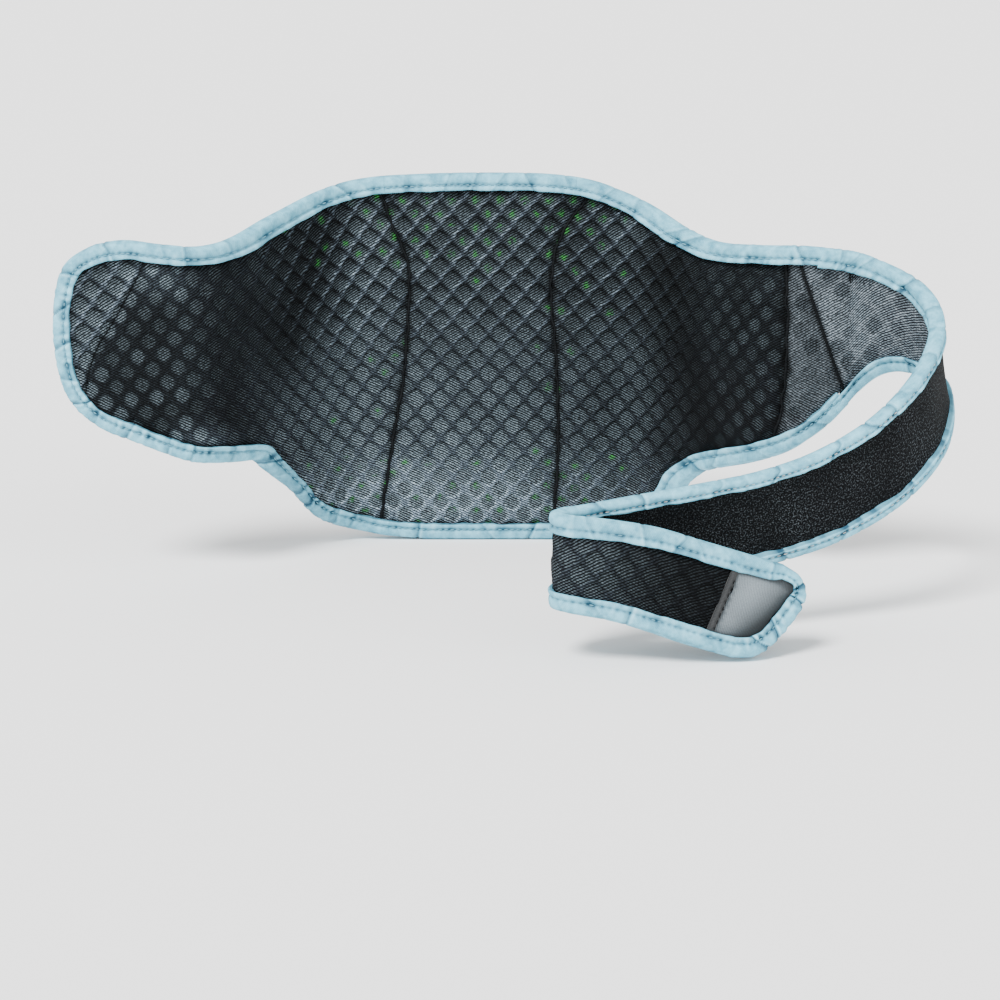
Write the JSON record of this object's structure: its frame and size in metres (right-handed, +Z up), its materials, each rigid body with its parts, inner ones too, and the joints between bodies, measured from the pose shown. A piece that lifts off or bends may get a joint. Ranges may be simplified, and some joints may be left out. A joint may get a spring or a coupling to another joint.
{
  "type": "neck gaiter",
  "caption": "Padded wrap-around neck gaiter with honeycomb mesh lining, bound edges and a folded fastening strap that ends in a hook patch.",
  "frame": {"origin": "middle of the whole object's footprint, on the surface it stands on", "axes": "+X to the wearer's strap side, along the wrap; -Y towards the wearer (skin side of the centre panel); +Z up the neck"},
  "size_m": [0.3262, 0.1788, 0.1461],
  "materials": {
    "binding_tape": "matte woven tape, powder blue",
    "green_foam": "open foam, green",
    "loop_pile": "black loop pile with pale flecks",
    "hook_patch": "grey moulded hook fabric, satin",
    "edge_strip": "dark folded tape",
    "thread": "dark thread",
    "seam_thread": "dark thread and seam allowance",
    "honeycomb_mesh": "dark 3-D spacer mesh with honeycomb relief",
    "flat_mesh": "dark fine-holed mesh"
  },
  "bodies": {
    "centre": {"centre_liner": "honeycomb_mesh", "centre_core": "green_foam", "centre_shell": "loop_pile", "centre_top_binding": "binding_tape", "centre_bottom_binding": "binding_tape", "left_panel_seam": "seam_thread", "right_panel_seam": "seam_thread"},
    "left_wing": {"left_wing_liner": "honeycomb_mesh", "left_tip_liner": "honeycomb_mesh", "left_wing_core": "green_foam", "left_wing_shell": "loop_pile", "left_wing_binding": "binding_tape"},
    "right_wing": {"right_wing_liner": "honeycomb_mesh", "strap_gusset": "flat_mesh", "strap_root_liner": "flat_mesh", "right_wing_core": "green_foam", "right_wing_shell": "loop_pile", "right_wing_top_binding": "binding_tape", "right_wing_bottom_binding": "binding_tape", "strap_root_seam": "seam_thread"},
    "strap": {"strap_liner": "flat_mesh", "strap_pile": "loop_pile", "strap_top_binding": "binding_tape", "strap_bottom_binding": "binding_tape", "strap_fold": "loop_pile"},
    "strap_end": {"strap_end_liner": "flat_mesh", "strap_end_pile": "loop_pile", "strap_end_binding": "binding_tape", "hook_patch": "hook_patch", "hook_patch_edge": "edge_strip", "patch_stitching": "thread"}
  },
  "joints": [
    {"name": "left_wing_flex", "type": "hinge", "parent": "centre", "child": "left_wing", "pos_m": [-0.03853, 0.08514, 0.073], "axis": [0, 0, 1], "range_deg": [-30, 35]},
    {"name": "right_wing_flex", "type": "hinge", "parent": "centre", "child": "right_wing", "pos_m": [0.02347, 0.08514, 0.073], "axis": [0, 0, 1], "range_deg": [-10, 30]},
    {"name": "strap_flex", "type": "hinge", "parent": "right_wing", "child": "strap", "pos_m": [0.13147, 0.02614, 0.096], "axis": [0, 0, 1], "range_deg": [-15, 45]},
    {"name": "strap_unfold", "type": "hinge", "parent": "strap", "child": "strap_end", "pos_m": [0.02247, -0.07966, 0.034], "axis": [0, 0, 1], "range_deg": [-80, 0]}
  ]
}
